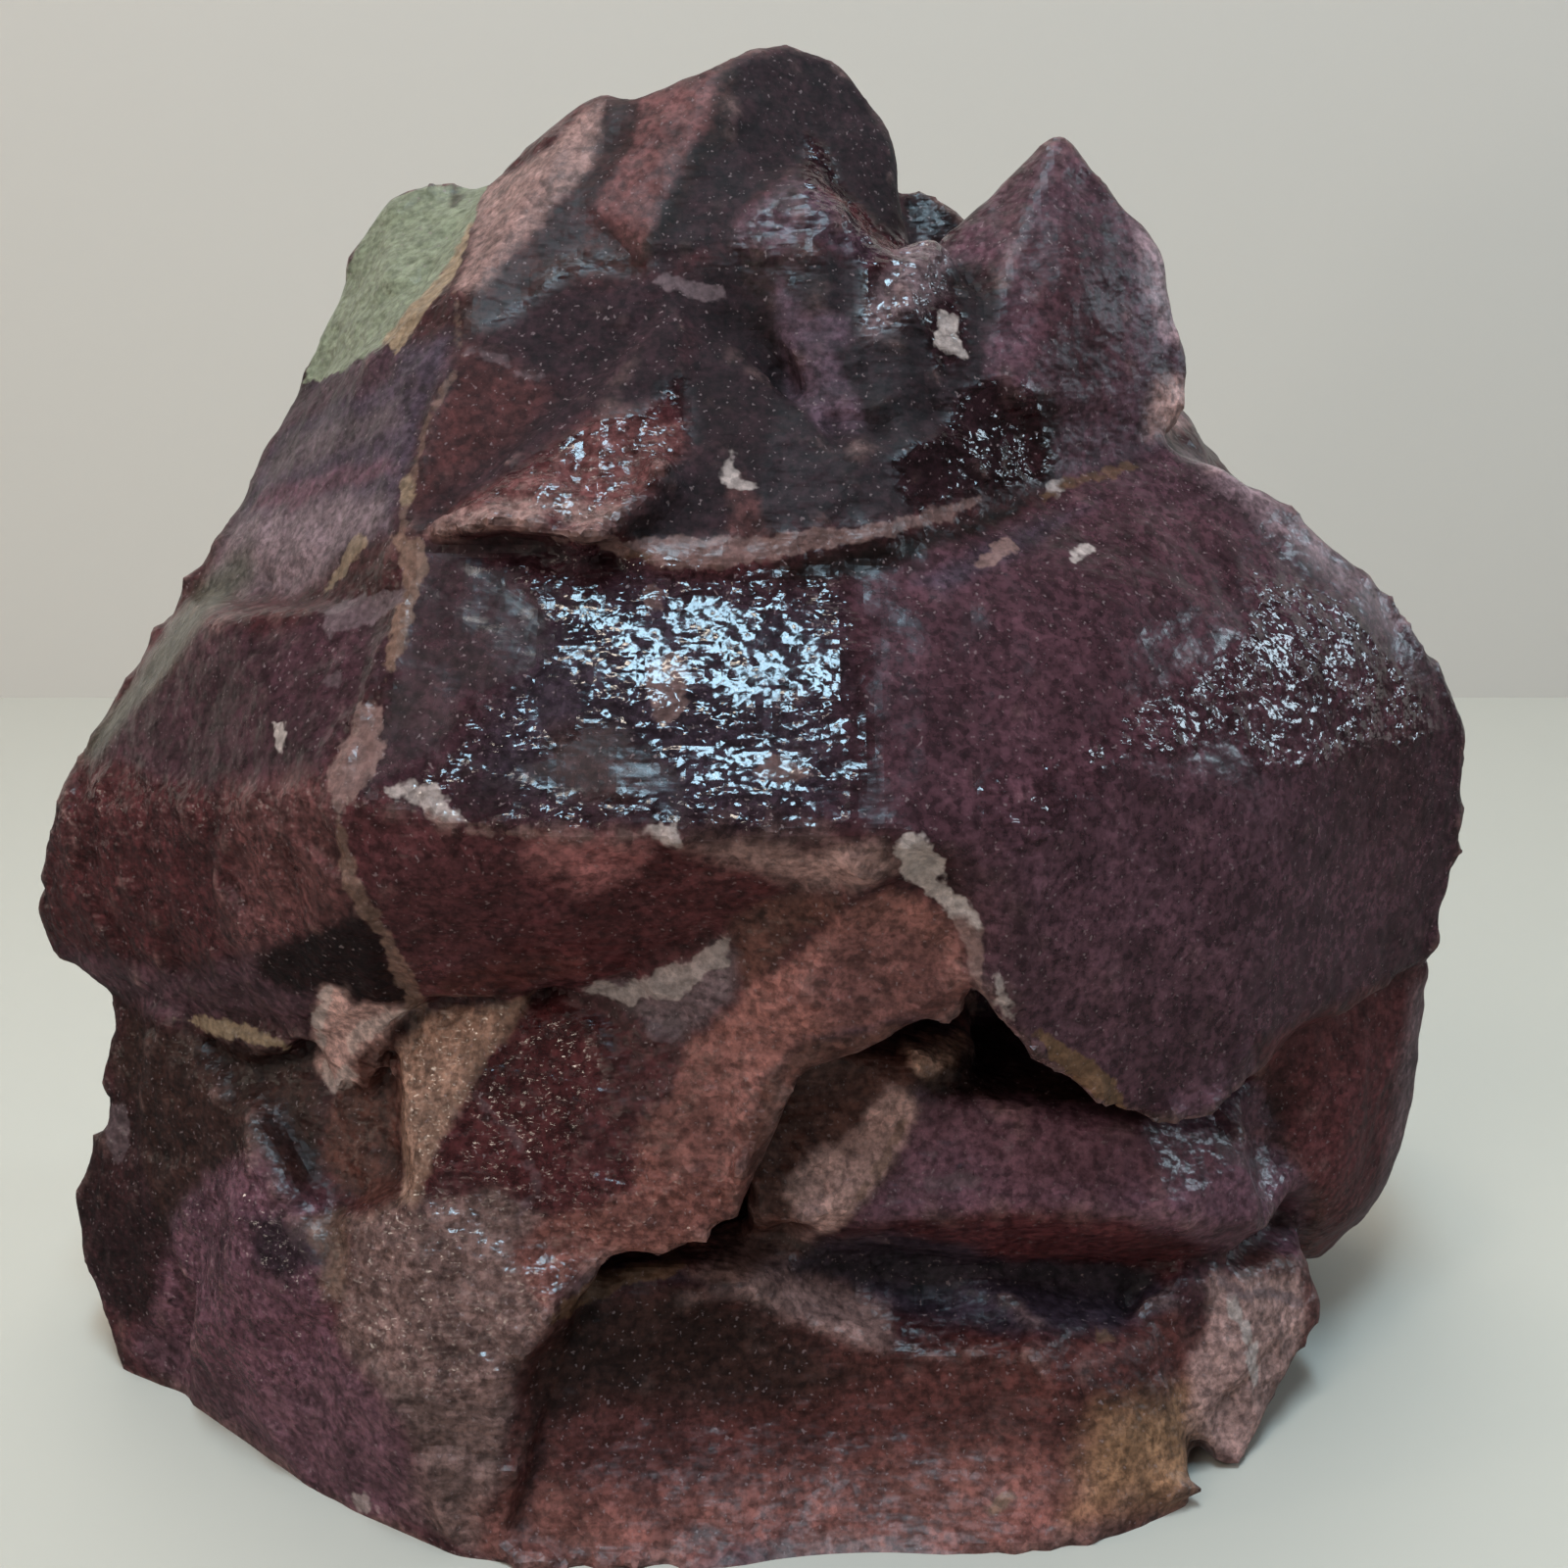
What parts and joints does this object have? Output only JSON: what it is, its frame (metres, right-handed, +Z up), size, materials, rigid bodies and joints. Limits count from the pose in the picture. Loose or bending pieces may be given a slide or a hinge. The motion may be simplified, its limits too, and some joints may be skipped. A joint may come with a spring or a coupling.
{
  "type": "fluorite specimen",
  "caption": "Broken lump of purple-brown fluorite with a pale green corner and tan seams, standing on its flat base.",
  "frame": {"origin": "middle of the stone's bounding box in plan, on the flat base that it stands on", "axes": "+Z up, +X along the stone's widest direction with the summit left of the fin, +Y through its thickness from the glassy front slab to the back"},
  "size_m": [0.1714, 0.1046, 0.1552],
  "materials": {
    "fluorite": "dark purple-brown translucent mineral, glassy on fresh breaks, with a green corner and tan seams"
  },
  "bodies": {
    "root": {"fluorite": "fluorite"}
  },
  "joints": []
}
